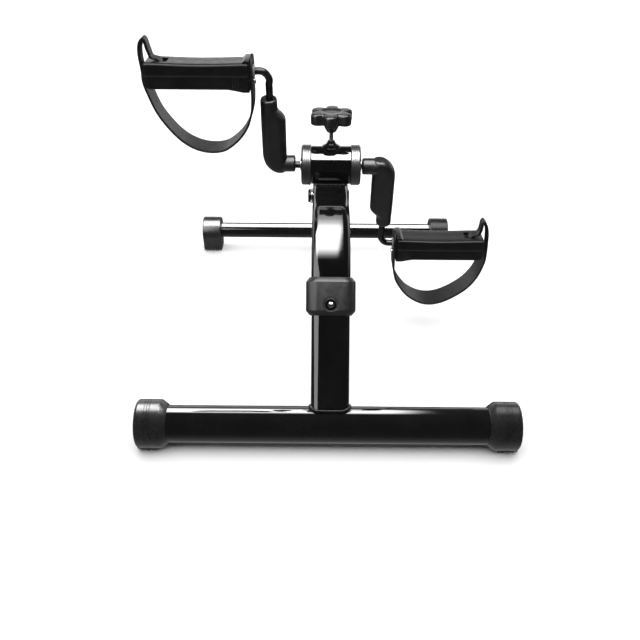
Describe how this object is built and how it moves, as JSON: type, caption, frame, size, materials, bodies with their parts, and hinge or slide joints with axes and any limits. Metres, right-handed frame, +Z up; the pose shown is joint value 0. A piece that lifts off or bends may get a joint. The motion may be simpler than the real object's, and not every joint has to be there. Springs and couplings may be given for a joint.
{
  "type": "folding pedal exerciser",
  "caption": "Folding floor pedal exerciser: black tube frame with two foot bars, a cranked axle in a braked housing, strapped pedals and a tension knob.",
  "frame": {"origin": "on the floor, in the middle of the footprint box with the frame folded out", "axes": "+X towards the right pedal of a user sitting behind the front foot bar, +Y from the front foot bar to the rear foot bar, +Z up"},
  "size_m": [0.397, 0.4972, 0.3651],
  "materials": {
    "frame_paint": "gloss black paint",
    "moulded_plastic": "fine moulded grain, semi-matt black",
    "satin_plastic": "satin dark grey",
    "sleeve_plastic": "smooth satin black",
    "strap_rubber": "flexible, matt, faintly fibrous",
    "nylon": "natural grey",
    "dark_steel": "blackened, drawn",
    "bright_steel": "bright zinc plating"
  },
  "bodies": {
    "frame": {"front_foot_tube": "frame_paint", "front_foot_cap_left": "moulded_plastic", "front_foot_cap_right": "moulded_plastic", "front_leg_tube": "frame_paint", "leg_collar": "satin_plastic", "snap_button_spring": "bright_steel", "arch_tube": "frame_paint", "crank_housing": "frame_paint", "housing_bushing_left": "satin_plastic", "housing_bushing_right": "satin_plastic", "boss_nut": "frame_paint", "hinge_bolt": "dark_steel", "hinge_washer": "bright_steel", "hinge_insert": "dark_steel", "leg_stop_pin": "bright_steel"},
    "rear_leg": {"rear_leg_tube": "frame_paint", "rear_foot_tube": "frame_paint", "rear_foot_cap_left": "moulded_plastic", "rear_foot_cap_right": "moulded_plastic", "hinge_sleeve": "bright_steel", "hinge_spacer_left": "nylon", "hinge_spacer_right": "nylon"},
    "crank": {"crank_rod": "dark_steel", "crank_sleeve_left": "sleeve_plastic", "crank_sleeve_right": "sleeve_plastic", "brake_drum": "nylon", "axle_ring_left": "bright_steel", "axle_ring_right": "bright_steel", "spindle_clip_left": "bright_steel", "spindle_clip_right": "bright_steel"},
    "pedal_left": {"pedal_body_left": "moulded_plastic", "pedal_strap_left": "strap_rubber", "strap_screw_left": "bright_steel", "pedal_bushing_left": "nylon"},
    "pedal_right": {"pedal_body_right": "moulded_plastic", "pedal_strap_right": "strap_rubber", "strap_screw_right": "bright_steel", "pedal_bushing_right": "nylon"},
    "brake": {"brake_shoe": "strap_rubber"},
    "knob": {"tension_knob": "moulded_plastic", "knob_stud": "bright_steel"},
    "button": {"snap_button": "bright_steel"}
  },
  "joints": [
    {"name": "rear_leg_fold", "type": "hinge", "parent": "frame", "child": "rear_leg", "pos_m": [0, -0.02, 0.1877], "axis": [-1, 0, 0], "range_deg": [0, 90]},
    {"name": "crank_spin", "type": "hinge", "parent": "frame", "child": "crank", "pos_m": [0, -0.013, 0.222], "axis": [1, 0, 0], "continuous": true},
    {"name": "pedal_left_spin", "type": "hinge", "parent": "crank", "child": "pedal_left", "pos_m": [-0.13, -0.04251, 0.33212], "axis": [1, 0, 0], "continuous": true},
    {"name": "pedal_right_spin", "type": "hinge", "parent": "crank", "child": "pedal_right", "pos_m": [0.13, 0.01651, 0.11188], "axis": [1, 0, 0], "continuous": true},
    {"name": "brake_shoe_slide", "type": "slide", "parent": "frame", "child": "brake", "axis": [0, 0, -1], "range_m": [-0.0008, 0.0007], "stiffness_N_per_m": 10, "springref_m": -0.0247},
    {"name": "knob_turn", "type": "hinge", "parent": "brake", "child": "knob", "pos_m": [0, -0.013, 0.261], "axis": [0, 0, -1], "range_deg": [-360, 300]},
    {"name": "snap_button_press", "type": "slide", "parent": "frame", "child": "button", "axis": [0, 0.8526, -0.5225], "range_m": [0, 0.0042], "stiffness_N_per_m": 800, "springref_m": -0.0006}
  ],
  "couplings": [
    {"joint": "brake_shoe_slide", "follows": "knob_turn", "m_per_rad": 0.00012732}
  ]
}
